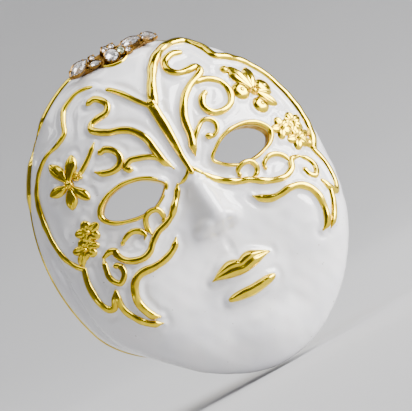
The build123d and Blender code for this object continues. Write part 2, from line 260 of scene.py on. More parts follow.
def curve_through(points, step=0.12, closed=False):
    """An even run of points on a smooth curve through the given ones."""
    p = np.asarray(points, float)
    if closed:
        p = np.vstack([p[-1], p, p[0], p[1]])
    else:
        p = np.vstack([2 * p[0] - p[1], p, 2 * p[-1] - p[-2]])
    out = []
    for i in range(1, len(p) - 2):
        a, b, c, d = p[i - 1], p[i], p[i + 1], p[i + 2]
        t0 = 0.0
        t1 = t0 + max(1e-6, np.linalg.norm(b - a)) ** 0.5
        t2 = t1 + max(1e-6, np.linalg.norm(c - b)) ** 0.5
        t3 = t2 + max(1e-6, np.linalg.norm(d - c)) ** 0.5
        for t in np.linspace(t1, t2, 24, endpoint=False):
            e = (t1 - t) / (t1 - t0) * a + (t - t0) / (t1 - t0) * b
            f = (t2 - t) / (t2 - t1) * b + (t - t1) / (t2 - t1) * c
            g = (t3 - t) / (t3 - t2) * c + (t - t2) / (t3 - t2) * d
            m = (t2 - t) / (t2 - t0) * e + (t - t0) / (t2 - t0) * f
            n = (t3 - t) / (t3 - t1) * f + (t - t1) / (t3 - t1) * g
            out.append((t2 - t) / (t2 - t1) * m + (t - t1) / (t2 - t1) * n)
    out.append(p[-2])
    out = np.array(out)
    for _ in range(2):
        out[1:-1] = 0.25 * out[:-2] + 0.5 * out[1:-1] + 0.25 * out[2:]
    run = np.concatenate([[0], np.cumsum(np.linalg.norm(np.diff(out, axis=0), axis=1))])
    count = max(8, int(run[-1] / step))
    s = np.linspace(0, run[-1], count + 1)
    res = np.stack([np.interp(s, run, out[:, k]) for k in range(2)], -1)
    return res[:-1] if closed else res


BOLD, TALL = 1.42, 1.5  # the wires as they stand, over the width and height they are listed with
ROOT = 0.42  # how deep a wire goes into the enamel
raised_spots = []  # x, z and half-width of everything the enamel was poured round


def ridge(points, width, height, flip=1, taper=(1.3, 1.3), tips=(0.3, 0.3), beads=(0, 0), seed=1, bury=()):
    """A half-round gold wire laid along the face.

    taper is the length over which each end thins, and tips what is left of the width there. beads is the radius
    of a ball at each end. bury lists places (x, z, radius, depth) where the enamel runs over the wire.
    """
    width, height = width * BOLD, height * TALL
    path = curve_through([(flip * x * KX, z * KZ) for x, z in points])
    n = len(path)
    step = np.linalg.norm(np.diff(path, axis=0), axis=1)
    s = np.concatenate([[0], np.cumsum(step)])
    total = s[-1]
    start = tips[0] + (1 - tips[0]) * smooth(0, taper[0], s)
    end = tips[1] + (1 - tips[1]) * smooth(0, taper[1], total - s)
    w = width / 2 * start * end
    w = w * (1 + 0.09 * wobble(s, s * 0, seed, 3.4))
    for k, size in enumerate(beads):
        if size:
            d = s - size * 0.9 if k == 0 else total - s - size * 0.9
            w = np.maximum(w, np.sqrt(np.clip(size ** 2 - np.clip(np.abs(d), 0, size) ** 2, 0, None)))
    tall = height * (0.35 + 0.65 * np.clip(w / (width / 2), 0.2, 1.25))
    tall = tall * (1 + 0.06 * wobble(s, s * 0, seed + 5, 3.1))
    centre = face_at(path[:, 0], path[:, 1])
    up = face_normal(path[:, 0], path[:, 1])
    drop = np.zeros(n)
    for bx, bz, br, amount in bury:
        drop += amount * np.exp(-(((path[:, 0] - bx) ** 2 + (path[:, 1] - bz) ** 2) / br ** 2))
    centre = centre - up * drop[:, None]
    along = np.gradient(centre, axis=0)
    along /= np.linalg.norm(along, axis=1, keepdims=True)
    side = np.cross(along, up)
    side /= np.linalg.norm(side, axis=1, keepdims=True)
    m, verts = 18, []
    for j in range(m):
        a = 2 * math.pi * j / m
        ca, sa = math.cos(a), math.sin(a)
        across = np.sign(ca) * abs(ca) ** 0.85 * w
        out = np.where(sa > 0, tall * abs(sa) ** 0.9, -ROOT * abs(sa))
        verts.append(centre + side * across[:, None] + up * out[:, None])
    verts = np.stack(verts, 1).reshape(-1, 3)
    first = centre[0] - along[0] * w[0] * 0.8 + up[0] * tall[0] * 0.3
    last = centre[-1] + along[-1] * w[-1] * 0.8 + up[-1] * tall[-1] * 0.3
    raised_spots.extend(zip(path[:, 0], path[:, 1], w * (1 - 0.8 * np.clip(drop, 0, 1))))
    return np.vstack([verts, first, last]), tube_faces(n, m)


def join_lists(parts):
    """Several meshes as one list of points and one of faces."""
    verts, faces, base = [], [], 0
    for v, f in parts:
        verts.append(np.asarray(v))
        faces.extend([tuple(i + base for i in face) for face in f])
        base += len(v)
    return np.vstack(verts), faces


def blob(x, z, radius, height, flat=1.0):
    """A round bead of gold on the face; flat below 1 widens its crown."""
    verts, rows, cols = [], 9, 18
    c = face_at(np.array([x]), np.array([z]))[0]
    up = face_normal(np.array([x]), np.array([z]))[0]
    a = np.cross(up, [0, 0, 1.0])
    a /= np.linalg.norm(a)
    b = np.cross(up, a)
    for i in range(1, rows):
        t = math.pi * i / rows
        for j in range(cols):
            q = 2 * math.pi * j / cols
            out = height * math.cos(t) if t < math.pi / 2 else 0.4 * math.cos(t)
            k = radius * math.sin(t) ** flat
            verts.append(c + a * k * math.cos(q) + b * k * math.sin(q) + up * out)
    verts += [c + up * height, c - up * 0.4]
    raised_spots.extend([(x + 0.5 * radius * math.cos(q), z + 0.5 * radius * math.sin(q), radius * 0.5)
                         for q in np.linspace(0, 6.28, 9)])
    return np.array(verts), tube_faces(rows - 1, cols)


def petal(cx, cz, direction, start, length, width, height, flip=1, round_tip=False):
    """A domed petal with a groove down its middle, lying on the face."""
    rows, cols, vein = 22, 13, 0.35
    d = math.radians(direction)
    dx, dz = math.cos(d) * flip, math.sin(d)
    s = np.linspace(0, 1, rows)
    if round_tip:
        wide = np.sqrt(np.clip(1 - (2 * s ** 0.85 - 1) ** 2, 0, 1))
    else:
        wide = np.sin(math.pi * s ** 1.35) ** 0.66
    wide = 0.06 + 0.94 * wide
    t = np.sin(np.linspace(-1, 1, cols) * math.pi / 2)
    px = cx + dx * (start + length * s[:, None]) - dz * t[None, :] * wide[:, None] * width / 2
    pz = cz + dz * (start + length * s[:, None]) + dx * t[None, :] * wide[:, None] * width / 2
    base = face_at(px, pz)
    up = face_normal(px, pz)
    crown = np.sqrt(np.clip(1 - t ** 2, 0, 1)) * (1 - vein * np.exp(-(t / 0.2) ** 2))
    profile = 0.25 + 0.75 * np.sin(math.pi * np.clip(s * 0.92 + 0.06, 0, 1)) ** 0.6
    top = base + up * (height * crown[None, :] * profile[:, None] - 0.03)[..., None]
    low = base - up * 0.4
    for i in range(0, rows, 2):
        raised_spots.append((px[i, cols // 2], pz[i, cols // 2], width / 2 * wide[i]))
    return slab(top, low)


def band(points, outward, upward, profile):
    """A closed ring: the profile (out, up) carried round closed points."""
    verts = np.stack([points + outward * a + upward * b for a, b in profile], 1).reshape(-1, 3)
    return verts, ring_faces(len(points), len(profile))


def inside(px, pz, outline):
    """Which of the points lie inside the closed outline."""
    hit = np.zeros(px.shape, bool)
    n = len(outline)
    for i in range(n):
        x0, z0 = outline[i]
        x1, z1 = outline[(i + 1) % n]
        crosses = (z0 > pz) != (z1 > pz)
        with np.errstate(divide="ignore", invalid="ignore"):
            at = (x1 - x0) * (pz - z0) / (z1 - z0) + x0
        hit ^= crosses & (px < at)
    return hit


def grow(outline, amount):
    """The closed outline moved outwards by an amount."""
    d = np.roll(outline, -1, 0) - np.roll(outline, 1, 0)
    n = np.stack([d[:, 1], -d[:, 0]], -1)
    n /= np.linalg.norm(n, axis=1, keepdims=True)
    middle = outline.mean(0)
    if ((outline - middle) * n).sum() < 0:
        n = -n
    return outline + n * amount


# ---------------------------------------------------------------- materials
def tree_of(name):
    """A new material with a principled shader."""
    mat = bpy.data.materials.new(name)
    mat.use_nodes = True
    nodes, links = mat.node_tree.nodes, mat.node_tree.links
    nodes.clear()
    out = nodes.new("ShaderNodeOutputMaterial")
    bsdf = nodes.new("ShaderNodeBsdfPrincipled")
    links.new(bsdf.outputs[0], out.inputs[0])
    return mat, nodes, links, bsdf


def put(shader, **values):
    """Plain numbers and colours on a shader's own sockets."""
    for name, value in values.items():
        shader.inputs[name.replace("_", " ")].default_value = value


def noise(nodes, links, scale, detail=3.0, rough=0.5):
    """A noise that stays with the piece."""
    coord = nodes.new("ShaderNodeTexCoord")
    tex = nodes.new("ShaderNodeTexNoise")
    put(tex, Scale=scale, Detail=detail, Roughness=rough)
    links.new(coord.outputs["Object"], tex.inputs["Vector"])
    return tex.outputs["Fac"]


def ramp(nodes, links, fac, stops):
    """A colour from a number, by stops of (place, colour)."""
    node = nodes.new("ShaderNodeValToRGB")
    for element, (place, colour) in zip(node.color_ramp.elements, (stops[0], stops[-1])):
        element.position, element.color = place, (*colour, 1)
    for place, colour in stops[1:-1]:
        node.color_ramp.elements.new(place).color = (*colour, 1)
    links.new(fac, node.inputs[0])
    return node.outputs[0]


def span(nodes, links, fac, low, high):
    """A number between low and high from a noise."""
    node = nodes.new("ShaderNodeMapRange")
    put(node, From_Min=0.3, From_Max=0.7, To_Min=low, To_Max=high)
    links.new(fac, node.inputs["Value"])
    return node.outputs[0]


def bump(nodes, links, bsdf, height, strength, distance, after=None):
    """Fine relief from a noise, on top of an earlier one if given."""
    node = nodes.new("ShaderNodeBump")
    put(node, Strength=strength, Distance=distance)
    links.new(height, node.inputs["Height"])
    if after is not None:
        links.new(after, node.inputs["Normal"])
    links.new(node.outputs[0], bsdf.inputs["Normal"])
    return node.outputs[0]


def mix(nodes, links, fac, a, b):
    """A blend of two colours, each a tuple or a socket."""
    node = nodes.new("ShaderNodeMix")
    node.data_type = "RGBA"
    links.new(fac, node.inputs[0])
    for value, socket in ((a, node.inputs[6]), (b, node.inputs[7])):
        if isinstance(value, tuple):
            socket.default_value = (*value, 1)
        else:
            links.new(value, socket)
    return node.outputs[2]


def enamel_material():
    """Glossy white enamel with a few pinholes."""
    mat, nodes, links, bsdf = tree_of("white_enamel")
    tone = ramp(nodes, links, noise(nodes, links, 190, 2),
                [(0.3, (0.80, 0.79, 0.83)), (0.55, (0.845, 0.835, 0.85)), (0.75, (0.86, 0.83, 0.845))])
    specks = noise(nodes, links, 2600, 1, 0.4)
    dots = ramp(nodes, links, specks, [(0.785, (0, 0, 0)), (0.815, (1, 1, 1))])
    colour = mix(nodes, links, dots, tone, (0.20, 0.15, 0.08))
    links.new(colour, bsdf.inputs["Base Color"])
    links.new(span(nodes, links, noise(nodes, links, 420, 3), 0.05, 0.13), bsdf.inputs["Roughness"])
    put(bsdf, IOR=1.52, Coat_Weight=0.6, Coat_Roughness=0.04, Subsurface_Weight=0.12,
        Subsurface_Radius=(0.0009, 0.0008, 0.0008), Subsurface_Scale=1.0)
    first = bump(nodes, links, bsdf, noise(nodes, links, 330, 2, 0.4), 0.22, 0.00035)
    bump(nodes, links, bsdf, noise(nodes, links, 1500, 2, 0.5), 0.08, 0.00006, first)
    return mat


def gold_material(name, colour, dark, rough, peel=0.25):
    """Plated metal between two tones, with a range of roughness and the fine unevenness of a casting."""
    mat, nodes, links, bsdf = tree_of(name)
    tone = ramp(nodes, links, noise(nodes, links, 700, 3), [(0.25, dark), (0.6, colour)])
    links.new(tone, bsdf.inputs["Base Color"])
    put(bsdf, Metallic=1.0)
    links.new(span(nodes, links, noise(nodes, links, 1300, 3), *rough), bsdf.inputs["Roughness"])
    first = bump(nodes, links, bsdf, noise(nodes, links, 900, 2, 0.5), peel, 0.00012)
    bump(nodes, links, bsdf, noise(nodes, links, 5200, 2, 0.6), 0.10, 0.00002, first)
    return mat


def crystal_material(name, colour):
    """Cut glass of a colour."""
    mat, nodes, links, bsdf = tree_of(name)
    paler = tuple(min(1, c * 1.06) for c in colour)
    tone = ramp(nodes, links, noise(nodes, links, 2200, 1), [(0.3, colour), (0.7, paler)])
    links.new(tone, bsdf.inputs["Base Color"])
    put(bsdf, Transmission_Weight=0.9, IOR=1.56)
    links.new(span(nodes, links, noise(nodes, links, 3000, 2), 0.0, 0.05), bsdf.inputs["Roughness"])
    return mat


def foil_material():
    """The mirror foil behind a stone."""
    mat, nodes, links, bsdf = tree_of("foil_back")
    tone = ramp(nodes, links, noise(nodes, links, 2600, 2), [(0.3, (0.62, 0.60, 0.60)), (0.7, (0.95, 0.93, 0.93))])
    links.new(tone, bsdf.inputs["Base Color"])
    put(bsdf, Metallic=1.0)
    links.new(span(nodes, links, noise(nodes, links, 1900, 2), 0.04, 0.14), bsdf.inputs["Roughness"])
    return mat


ENAMEL_MAT = enamel_material()
GOLD = gold_material("relief_gold", (0.90, 0.66, 0.025), (0.62, 0.42, 0.01), (0.10, 0.20), 0.16)
OLD_GOLD = gold_material("setting_gold", (0.30, 0.16, 0.03), (0.03, 0.015, 0.006), (0.18, 0.38))
SHELL_MAT = gold_material("shell_gold", (0.85, 0.56, 0.12), (0.55, 0.32, 0.05), (0.28, 0.5), 0.5)
FINDING = gold_material("finding_gold", (0.85, 0.56, 0.13), (0.62, 0.38, 0.07), (0.18, 0.34), 0.15)
STEEL = gold_material("pin_steel", (0.86, 0.82, 0.72), (0.66, 0.62, 0.54), (0.10, 0.24), 0.1)
CLEAR = crystal_material("clear_crystal", (0.97, 0.94, 0.96))
GREEN = crystal_material("green_crystal", (0.70, 0.80, 0.52))
FOIL = foil_material()

# ---------------------------------------------------------------- gold work: |x|, z on a face 50 by 57 mm
PATHS_L = {
    "contour_wire": ([(0.2, 16.5), (1.8, 18.7), (3.2, 20.9), (4.4, 22.3), (6.0, 23.7), (8.1, 24.3), (10.0, 23.7),
                      (11.6, 22.7), (12.7, 21.0), (13.6, 19.2), (15.3, 18.2), (17.0, 17.7), (18.7, 16.5),
                      (20.5, 14.3),
                      (21.9, 11.4), (22.6, 7.9), (22.8, 4.7), (22.5, 1.9), (21.7, 0.0), (20.9, -1.1)], 0.66, 0.34),
    "jaw_lobe_wire": ([(20.9, -1.0), (21.4, -3.2), (21.5, -5.0), (21.3, -7.1), (20.6, -8.5), (20.0, -8.6),
                       (19.5, -7.7), (18.7, -6.3)], 0.85, 0.38),
    "forehead_curl": ([(8.3, 21.7), (7.0, 21.9), (6.1, 21.0), (5.9, 20.0), (6.7, 19.0), (8.2, 18.8), (9.5, 18.5),
                       (9.9, 17.6), (9.3, 16.9), (7.9, 16.0), (6.4, 15.5), (5.0, 14.7), (4.0, 13.4), (3.4, 11.9),
                       (3.2, 10.0), (2.9, 8.0), (2.3, 6.4)], 0.9, 0.4),
    "brow_scroll": ([(7.8, 8.9), (8.5, 9.8), (7.5, 10.5), (6.0, 10.2), (4.7, 9.7), (3.5, 8.9), (2.9, 8.0),
                     (2.0, 6.1)], 0.75, 0.34),
    "brow_spiral": ([(12.8, 11.5), (12.0, 10.8), (10.5, 10.3), (9.0, 10.7), (8.4, 11.8), (8.8, 13.1), (9.8, 13.9),
                     (11.0, 13.7)], 0.85, 0.4),
    "under_eye_wire": ([(2.6, 3.9), (3.5, 2.4), (4.8, 1.0), (5.7, 0.0), (7.1, -0.8), (9.0, -1.4), (10.5, -2.5),
                        (11.4, -3.4), (12.6, -3.9), (14.1, -3.7), (15.3, -2.9), (15.9, -1.7), (15.9, -0.9),
                        (16.6, -0.6), (17.8, -1.0)], 0.8, 0.36),
    "eye_ring_inner": ([(9.9, -1.4), (10.0, 0.2), (9.4, 1.6), (8.3, 2.0), (7.3, 1.6), (7.0, 0.3), (7.4, -0.5)],
                       0.65, 0.32),
    "eye_ring_outer": ([(14.6, -0.6), (13.3, 0.3), (12.1, 0.5), (11.1, -0.1), (10.8, -0.9),
                        (11.3, -1.5)], 0.7, 0.34),
    "cheek_scroll": ([(6.9, -3.4), (7.7, -4.5), (8.8, -5.2), (10.3, -5.7), (12.1, -5.9), (14.2, -5.8),
                      (15.4, -6.3),
                      (16.3, -7.6), (16.7, -9.4), (16.4, -10.9), (15.7, -12.4), (14.7, -13.1)], 0.9, 0.4),
    "jaw_tail": ([(18.7, -6.4), (19.0, -7.9), (18.9, -9.7), (18.1, -11.4), (17.1, -12.8), (15.9, -13.7),
                  (14.7, -14.2)], 0.8, 0.36),
    "jaw_hook": ([(17.8, -1.0), (18.2, -2.4), (18.5, -4.0), (18.2, -5.1), (17.6, -5.7), (16.8, -5.2), (16.3, -4.2),
                  (16.5, -3.2), (17.2, -2.9)], 0.75, 0.36),
}
PATHS_R = {
    "contour_wire": ([(0.3, 16.5), (1.3, 18.8), (2.7, 21.0), (4.3, 22.9), (6.4, 24.3), (8.9, 24.9), (11.3, 24.5),
                      (12.6, 23.4), (13.5, 21.6), (14.2, 19.7), (15.7, 18.9), (17.6, 17.8), (19.4, 15.9),
                      (21.2, 12.9),
                      (22.3, 9.4), (22.8, 5.8), (22.7, 2.6), (21.9, 0.4), (21.0, -1.0)], 1.15, 0.5),
    "jaw_lobe_wire": ([(21.0, -1.0), (21.6, -3.2), (21.6, -5.4), (21.2, -7.4), (20.4, -8.5), (19.6, -7.8),
                       (18.7, -6.2)], 0.85, 0.38),
    "forehead_curl": ([(9.4, 22.6), (7.6, 22.9), (5.9, 22.2), (5.5, 20.8), (6.5, 19.6), (8.2, 19.3), (9.9, 19.2),
                       (10.1, 18.3), (9.0, 17.6), (7.0, 16.8), (5.1, 15.3), (3.8, 13.3), (3.2, 11.6), (2.9, 9.8),
                       (1.9, 6.9)], 0.95, 0.44),
    "brow_scroll": ([(5.0, 8.5), (6.1, 8.0), (7.1, 8.5), (7.5, 9.6), (6.9, 10.6), (5.8, 10.9), (4.8, 10.3),
                     (3.9, 9.6),
                     (3.0, 8.6), (1.9, 6.4)], 0.62, 0.32),
    "brow_spiral": ([(7.3, 17.1), (10.1, 16.7), (12.1, 15.2), (12.5, 13.1), (11.5, 11.4), (9.5, 10.9), (7.8, 11.5),
                     (7.2, 12.9), (7.8, 14.2), (9.0, 14.9)], 0.85, 0.4),
    "under_eye_wire": ([(1.4, 3.6), (2.8, 2.0), (4.5, 0.7), (6.1, -0.2), (7.7, -0.7), (9.7, -1.9), (11.3, -2.6),
                        (13.4, -2.9), (15.1, -2.2), (16.1, -0.9), (17.6, -0.9)], 0.8, 0.36),
    "eye_ring_inner": ([(8.2, -0.7), (9.4, -0.4), (10.0, 0.5), (9.5, 1.7), (8.1, 2.0), (6.9, 1.4), (6.8, 0.3)],
                       0.65, 0.32),
    "eye_ring_outer": ([(11.2, -0.6), (11.4, 0.5), (12.7, 1.2), (14.3, 0.9), (15.4, -0.2),
                        (15.5, -1.4)], 0.7, 0.34),
    "cheek_scroll": ([(7.0, -3.2), (8.0, -4.1), (9.6, -4.9), (11.2, -5.0), (12.9, -4.8), (14.6, -5.1),
                      (16.0, -6.2),
                      (16.7, -7.8), (16.7, -9.7), (16.3, -11.4), (15.7, -12.5), (14.6, -13.1)], 0.9, 0.42),
    "jaw_tail": ([(18.7, -6.0), (19.4, -7.5), (18.9, -9.4), (18.0, -11.2), (17.1, -12.4),
                  (16.0, -13.4)], 0.8, 0.36),
    "jaw_hook": ([(17.6, -0.9), (18.7, -2.0), (19.2, -3.2), (18.9, -4.3), (18.1, -4.9), (17.3, -4.3),
                  (17.0, -3.0)],
                 0.75, 0.36),
}
# the ball at each end, what is left of the width at each end, and where the enamel runs over the wires
BEADS = {"forehead_curl": (0.62, 0), "brow_scroll": (0.6, 0), "brow_spiral": (0, 0.55),
         "eye_ring_inner": (0, 0.42), "eye_ring_outer": (0.4, 0), "jaw_hook": (0, 0.5)}
TIPS = {"contour_wire": (0.9, 0.9), "jaw_lobe_wire": (0.9, 0.5), "cheek_scroll": (0.25, 0.3),
        "under_eye_wire": (0.35, 0.6), "forehead_curl": (0.7, 0.3), "jaw_tail": (0.6, 0.2)}
BURIED_L = [(-5.2, 23.1, 0.8, 0.9), (-9.4, 18.9, 0.7, 0.3), (-2.4, 6.9, 0.8, 0.3), (-16.5, 18.0, 1.0, 0.12)]
EYE = [(4.5, 4.7), (5.7, 5.9), (7.3, 6.85), (9.0, 7.3), (10.8, 7.4), (12.6, 7.0), (14.1, 6.1), (14.9, 4.9),
       (14.5, 3.9), (13.3, 3.0), (11.5, 2.4), (9.6, 2.15), (7.7, 2.3), (6.1, 3.1), (5.1, 3.9)]
EYE_LINES = {}
SIDES = (("L", -1), ("R", 1))

for (side, flip), paths in zip(SIDES, (PATHS_L, PATHS_R)):
    for count, (name, (points, width, height)) in enumerate(paths.items()):
        lists = ridge(points, width, height, flip, tips=TIPS.get(name, (0.3, 0.3)),
                      beads=BEADS.get(name, (0, 0)), seed=11 * count + (3 if flip > 0 else 7),
                      bury=BURIED_L if flip < 0 else ())
        gold_piece(f"{name}_{side}", *lists)

# stem down the forehead, with a V of two thin lines beside the nose
stem = [ridge([(0.0, 17.3), (0.0, 15.0), (0.03, 12.0), (0.0, 9.0), (0.0, 6.4), (0.0, 4.2)], 1.25, 0.50,
              taper=(1.0, 9.0), tips=(0.85, 0.45), seed=71),
        blob(0.05, 16.9, 1.0, 0.86), blob(0.0, 16.0, 0.85, 0.82),
        ridge([(0.0, 5.6), (-0.6, 4.6), (-1.5, 3.9), (-2.6, 3.6)], 0.5, 0.24, tips=(0.8, 0.3), seed=74),
        ridge([(0.0, 5.6), (0.7, 4.5), (1.3, 3.7), (2.0, 2.8)], 0.5, 0.24, tips=(0.8, 0.3), seed=75)]
gold_piece("y_stem", *join_lists(stem))

# flowers: the centre, petals as (direction, start, length, width, rounded), heads as (x, z, size)
TEMPLE = {
    "L": ((16.9, 11.6),
          [(80, 0.2, 4.3, 1.9, False), (122, 0.2, 4.6, 1.8, False), (-2, 0.2, 2.9, 1.9, False),
           (-70, 0.2, 3.8, 1.8, False), (-113, 0.2, 3.7, 1.7, False)],
          [(15.2, 12.2, 0.75)]),
    "R": ((16.4, 11.6),
          [(72, 0.3, 4.2, 2.4, False), (107, 0.3, 5.4, 2.5, False), (-54, 0.3, 4.2, 1.8, False),
           (-25, 0.3, 3.0, 1.4, False)],
          [(14.3, 12.5, -1.65), (18.5, 11.7, -1.65), (16.2, 9.1, -1.55), (13.9, 16.8, -0.8)]),
}
CHEEK = {
    "L": ((19.0, 2.3),
          [(118, 0.3, 2.8, 1.5, False), (-52, 0.4, 2.9, 1.5, False), (-140, 0.2, 1.9, 1.3, True)],
          [(17.9, 3.7, 1.95), (19.4, 1.5, 1.85)]),
    "R": ((19.4, 2.6),
          [(100, 0.3, 2.8, 1.5, False), (-62, 0.4, 3.2, 1.5, False), (-20, 0.3, 2.4, 1.4, False)],
          [(17.4, 4.3, 2.0), (19.9, 4.3, 2.0), (19.3, 1.7, 2.1), (20.8, 0.2, -0.8)]),
}
STEMS = {
    "temple_flower": {"L": [(15.9, 12.0), (14.4, 12.6), (12.6, 13.9), (10.6, 15.7)],
                      "R": [(15.5, 12.3), (14.0, 12.8), (12.9, 13.7)]},
    "cheek_flower": {"L": [(18.9, 2.6), (20.0, 0.9), (20.9, -1.0)], "R": [(18.8, 2.8), (20.2, 0.7), (20.9, -0.9)]},
}
PETAL_HEIGHT = {"temple_flower": 0.8, "cheek_flower": 0.66}


def rosette(x, z, size):
    """A small flower head: five petals about a bead; a negative size makes a plain round lobe."""
    if size < 0:
        return [blob(x, z, -size, 0.72, flat=0.75), blob(x, z, -0.42 * size, 0.86)]
    lists = [blob(x, z, 0.26 * size, 0.8)]
    for k in range(5):
        lists.append(petal(x, z, 72 * k + 20, 0.1, 0.95 * size, 0.85 * size, 0.66, 1 if x > 0 else -1, True))
    return lists


for side, flip in SIDES:
    for name, spec in (("temple_flower", TEMPLE), ("cheek_flower", CHEEK)):
        (cx, cz), leaves, heads = spec[side]
        lists = [petal(flip * cx, cz, d, start, length, width, PETAL_HEIGHT[name], flip, tip)
                 for d, start, length, width, tip in leaves]
        if name == "temple_flower":
            lists.append(blob(flip * cx, cz, 0.8, 0.85))
            for k in range(7):
                q = 2 * math.pi * k / 7 + 0.3
                lists.append(blob(flip * cx + 0.5 * math.cos(q), cz + 0.5 * math.sin(q), 0.24, 0.95))
        for hx, hz, size in heads:
            lists += rosette(flip * hx, hz, size)
        lists.append(ridge(STEMS[name][side], 0.62, 0.3, flip, tips=(0.8, 0.3), seed=91))
        gold_piece(f"{name}_{side}", *join_lists(lists))

# gold rims round the eyes, carried down through the thickness of the mask
RIM_OUTSIDE = [(0.0, -0.30), (0.02, -0.02), (0.12, 0.5), (0.28, 0.86), (0.5, 1.0), (0.72, 0.8), (0.9, 0.35),
               (1.0, -0.3), (1.0, -0.9)]  # shares of the rim's width and height, from the opening outwards
RIM_INSIDE = [(1.1, -0.05), (1.05, 0.28), (0.4, 0.30), (0.08, 0.2), (0.0, -0.1)]  # mm, back to the opening
for side, flip in SIDES:
    line = curve_through([(flip * x * KX, z * KZ) for x, z in EYE], 0.14, closed=True)
    EYE_LINES[side] = line
    flat = grow(line, 1.0) - line
    angle = np.arctan2(line[:, 1] - 4.8, (np.abs(line[:, 0]) - 9.7) * 0.6)
    wide = 0.62 + 0.26 * np.exp(-(angle / 0.9) ** 2) + 0.16 * np.clip(np.sin(angle), 0, 1)
    wide = wide * (1 + 0.10 * wobble(line[:, 0], line[:, 1], 5, 2.5))
    tall = 0.30 + 0.10 * np.exp(-((angle - 0.5) / 1.2) ** 2)
    up = face_normal(line[:, 0], line[:, 1])
    columns = []
    for away, level in RIM_OUTSIDE:
        at = line + flat * (away * wide)[:, None]
        columns.append(face_at(at[:, 0], at[:, 1]) + up * (level * tall)[:, None])
    for away, level in RIM_INSIDE:
        at = line + flat * away
        back = face_at(at[:, 0], at[:, 1], ENAMEL + METAL, RELIEF_INSIDE)
        columns.append(back + np.array([[0.0, level, 0.0]]))
    verts = np.stack(columns, 1).reshape(-1, 3)
    gold_piece(f"eye_rim_{side}", verts, ring_faces(len(line), len(columns)))
    raised_spots.extend([(x, z, 0.55) for x, z in line])


# ---------------------------------------------------------------- lips
def lip(name, top, bottom, height, groove, seed):
    """A lip: a pillow between an upper and a lower edge line, with a groove across it."""
    rows, cols = 70, 19
    xs = np.linspace(top[0][0], top[-1][0], rows)
    t_top = curve_through(top, 0.1)
    t_low = curve_through(bottom, 0.1)
    zt = np.interp(xs, t_top[:, 0], t_top[:, 1])
    zl = np.interp(xs, t_low[:, 0], t_low[:, 1])
    v = np.sin(np.linspace(-1, 1, cols) * math.pi / 2) * 0.5 + 0.5
    px = np.repeat(xs[:, None], cols, 1) * KX
    pz = (zl[:, None] + (zt - zl)[:, None] * v[None, :]) * KZ
    ends = np.sqrt(np.clip(1 - (2 * np.linspace(0, 1, rows) - 1) ** 10, 0, 1))
    middle = (pz.min(1) + pz.max(1))[:, None] / 2
    pz = middle + (pz - middle) * (0.25 + 0.75 * ends)[:, None]
    base, up = face_at(px, pz), face_normal(px, pz)
    crown = np.clip(1 - (2 * v - 1) ** 2, 0, 1) ** 0.45
    dent = 1 - groove * np.exp(-((v - 0.46) / 0.09) ** 2)[None, :] * smooth(0.02, 0.3, ends)[:, None]
    tall = height * crown[None, :] * ends[:, None] * dent * (1 + 0.10 * wobble(px, pz, seed, 2.4))
    top_side = base + up * (tall - 0.1)[..., None]
    low_side = base - up * 0.45
    gold_piece(name, *slab(top_side, low_side))
    for i in range(0, rows, 2):
        for j in (4, 9, 14):
            raised_spots.append((px[i, j], pz[i, j], abs(zt[i] - zl[i]) / 5))


lip("upper_lip", [(-5.3, -12.1), (-4.2, -11.4), (-3.0, -10.75), (-1.8, -10.35), (-0.8, -10.5), (0, -10.85),
                  (0.8, -10.5), (1.8, -10.35), (3.0, -10.75), (4.2, -11.4), (5.3, -12.1)],
    [(-5.3, -12.25), (-4.2, -12.45), (-2.8, -12.9), (-1.4, -13.2), (0, -13.35), (1.4, -13.2), (2.8, -12.9),
     (4.2, -12.45), (5.3, -12.25)], 1.0, 0.3, 21)
lip("lower_lip", [(-4.3, -15.45), (-3.0, -15.2), (-1.5, -15.15), (0, -15.2), (1.5, -15.1), (3.0, -15.05),
                  (4.3, -15.2)],
    [(-4.3, -16.3), (-3.0, -16.6), (-1.5, -16.85), (0, -16.95), (1.5, -16.8), (3.0, -16.5), (4.3, -16.1)],
    0.95, 0.1, 22)

# ---------------------------------------------------------------- enamel and shell as closed skins
tree = KDTree(len(raised_spots))
for i, (x, z, w) in enumerate(raised_spots):
    tree.insert((x, 0.0, z), i)
tree.balance()
SPOT_W = np.array([spot[2] for spot in raised_spots])
POURED_REACH = 2.4  # mm from the middle of a wire


def poured(x, z):
    """How far the enamel climbs where it meets the gold work."""
    flat_x, flat_z = x.ravel(), z.ravel()
    climb = np.zeros(flat_x.shape)
    for i in range(len(flat_x)):
        _, index, far = tree.find((flat_x[i], 0.0, flat_z[i]))
        if far < POURED_REACH:
            edge = max(0.0, far - SPOT_W[index])
            climb[i] = 0.12 * math.exp(-(edge / 0.32) ** 2) - 0.17 * math.exp(-((edge - 0.75) / 0.55) ** 2)
    return climb.reshape(x.shape)


def square_grid(n):
    """A square grid laid over the unit circle, with its rows closer together towards the rim."""
    u = np.linspace(-1, 1, n + 1)
    u, v = np.meshgrid(u, u, indexing="ij")
    a, b = u * np.sqrt(1 - v * v / 2), v * np.sqrt(1 - u * u / 2)
    rho = np.clip(np.hypot(a, b), 1e-9, 1)
    r = np.sin(rho * math.pi / 2)
    return a / rho * r, b / rho * r


